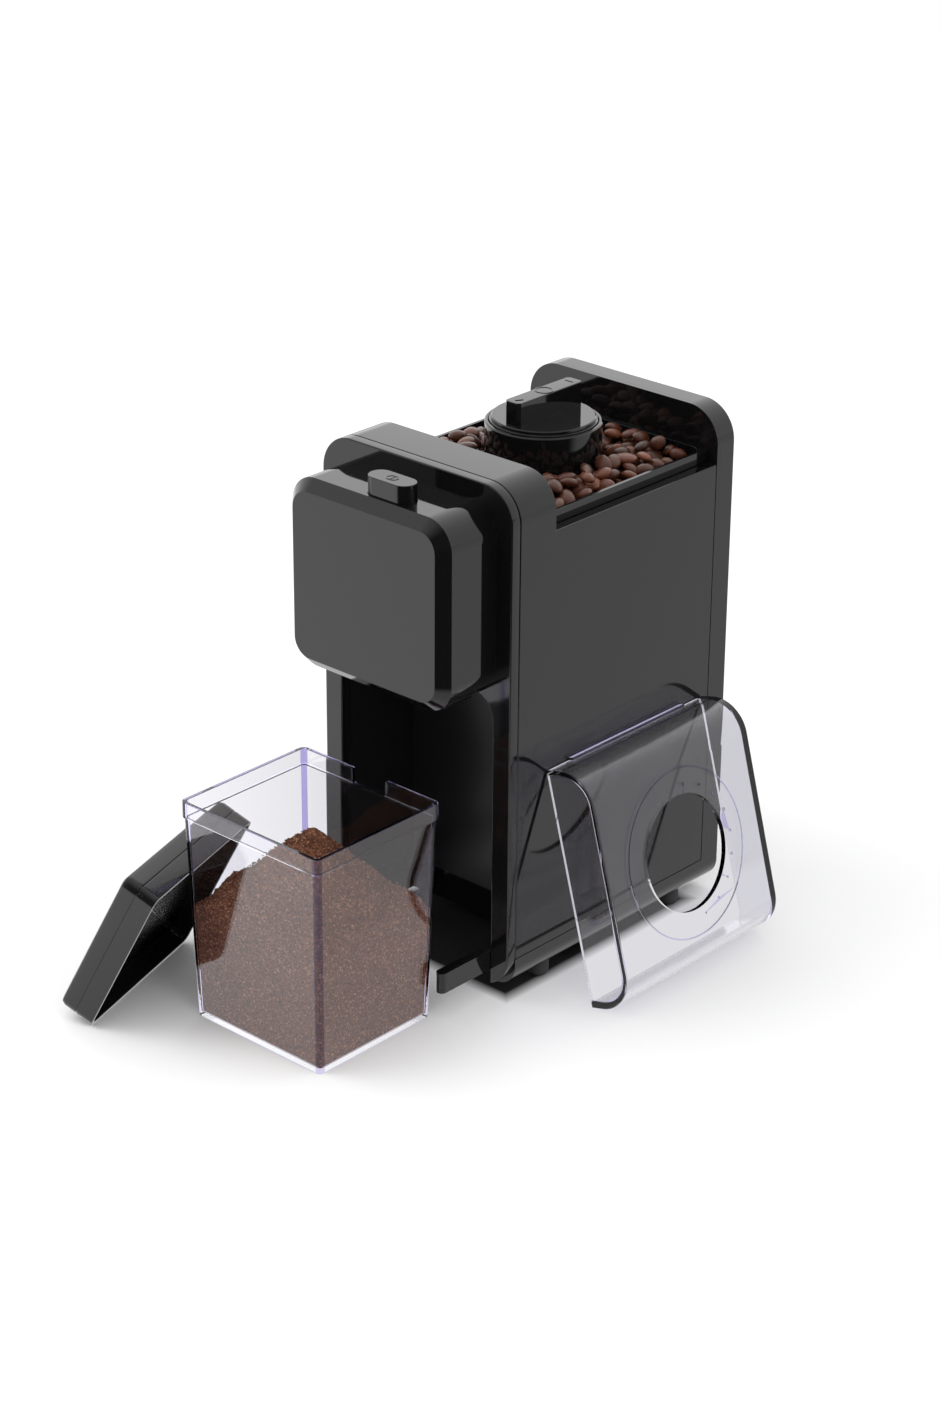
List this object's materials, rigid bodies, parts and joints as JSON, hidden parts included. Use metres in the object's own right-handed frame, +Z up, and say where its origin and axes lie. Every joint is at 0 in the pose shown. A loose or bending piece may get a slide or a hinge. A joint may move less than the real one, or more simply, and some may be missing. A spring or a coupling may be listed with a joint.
{
  "type": "burr coffee grinder",
  "caption": "Upright electric burr coffee grinder with a bean hopper, grind dial, start button and sliding grounds container; its clear hopper cover and container lid lean beside it.",
  "frame": {"origin": "centre of the whole layout's bounding box, on the table", "axes": "+Z up; the head and the container's opening face -Y; +Y is the grinder's back; the hopper cover leans on the +X side"},
  "size_m": [0.227, 0.3207, 0.2747],
  "materials": {
    "gloss_black": "polished black moulding",
    "satin_black": "fine-grained black moulding",
    "clear_plastic": "clear, slightly smoky moulding",
    "cast_aluminium": "as cast",
    "steel": "ground",
    "burr_steel": "hardened and ground",
    "iron": "laminations and ferrite",
    "copper": "bare copper and brass",
    "rubber": "moulded",
    "board": "lacquered board",
    "red_plastic": "moulded"
  },
  "bodies": {
    "housing": {"front_frame": "gloss_black", "housing_shell": "gloss_black", "rear_bulkhead": "gloss_black", "rear_cover": "gloss_black", "base_cover": "gloss_black", "container_bay": "satin_black", "container_rails": "gloss_black", "head_cover": "gloss_black", "hopper": "satin_black", "grounds_chute": "satin_black", "grinding_chamber": "cast_aluminium", "chamber_seal": "rubber", "motor_stand": "satin_black", "motor_can": "steel", "motor_magnets": "iron", "motor_lower_cap": "cast_aluminium", "motor_upper_cap": "cast_aluminium", "lower_bearing": "steel", "upper_bearing": "steel", "brush_holders": "copper", "motor_mounts": "rubber", "circuit_board": "board", "start_switch": "satin_black", "switch_bracket": "satin_black", "button_spring": "steel", "interlock_switch": "satin_black", "cable_inlet": "rubber", "rubber_feet": "rubber", "base_screws": "steel", "rear_screws": "steel", "chamber_screws": "steel"},
    "rotor": {"motor_shaft": "steel", "armature": "iron", "armature_winding": "copper", "commutator": "copper", "cooling_fan": "satin_black", "lower_burr_carrier": "steel", "lower_burr": "burr_steel", "burr_nut": "steel"},
    "dial_mount": {"dial_ring": "gloss_black"},
    "dial": {"grind_dial": "gloss_black", "dial_spindle": "steel"},
    "upper_burr_set": {"upper_burr_carrier": "satin_black", "upper_burr": "burr_steel", "burr_screws": "steel"},
    "button": {"start_button": "gloss_black"},
    "plunger": {"interlock_plunger": "red_plastic"},
    "container": {"container": "clear_plastic"},
    "lid": {"container_lid": "gloss_black"},
    "cover": {"hopper_cover": "clear_plastic"}
  },
  "joints": [
    {"name": "rotor_spin", "type": "hinge", "parent": "housing", "child": "rotor", "pos_m": [0.00275, 0.08664, 0.0284], "axis": [0, 0, 1], "continuous": true},
    {"name": "dial_mount_lift", "type": "slide", "parent": "housing", "child": "dial_mount", "axis": [0, 0, 1], "range_m": [0, 0.1]},
    {"name": "dial_turn", "type": "hinge", "parent": "dial_mount", "child": "dial", "pos_m": [0.00275, 0.08664, 0.26], "axis": [0, 0, 1], "range_deg": [0, 270]},
    {"name": "upper_burr_turn", "type": "hinge", "parent": "dial_mount", "child": "upper_burr_set", "pos_m": [0.00275, 0.08664, 0.1746], "axis": [0, 0, 1], "range_deg": [0, 270]},
    {"name": "button_press", "type": "slide", "parent": "housing", "child": "button", "axis": [0, 0, -1], "range_m": [0, 0.0025], "stiffness_N_per_m": 700, "springref_m": -0.002, "deforming": ["button_spring"]},
    {"name": "plunger_press", "type": "slide", "parent": "housing", "child": "plunger", "axis": [0, 1, 0], "range_m": [0, 0.0025], "stiffness_N_per_m": 300, "springref_m": -0.003},
    {"name": "container_slide", "type": "slide", "parent": "housing", "child": "container", "axis": [0, 1, 0], "range_m": [0, 0.07815]},
    {"name": "lid_lift", "type": "slide", "parent": "housing", "child": "lid", "axis": [0, 0, 1], "range_m": [0, 0.12]},
    {"name": "cover_lift", "type": "slide", "parent": "housing", "child": "cover", "axis": [0, 0, 1], "range_m": [0, 0.18]}
  ],
  "couplings": [
    {"joint": "upper_burr_turn", "follows": "dial_turn", "ratio": 1}
  ]
}
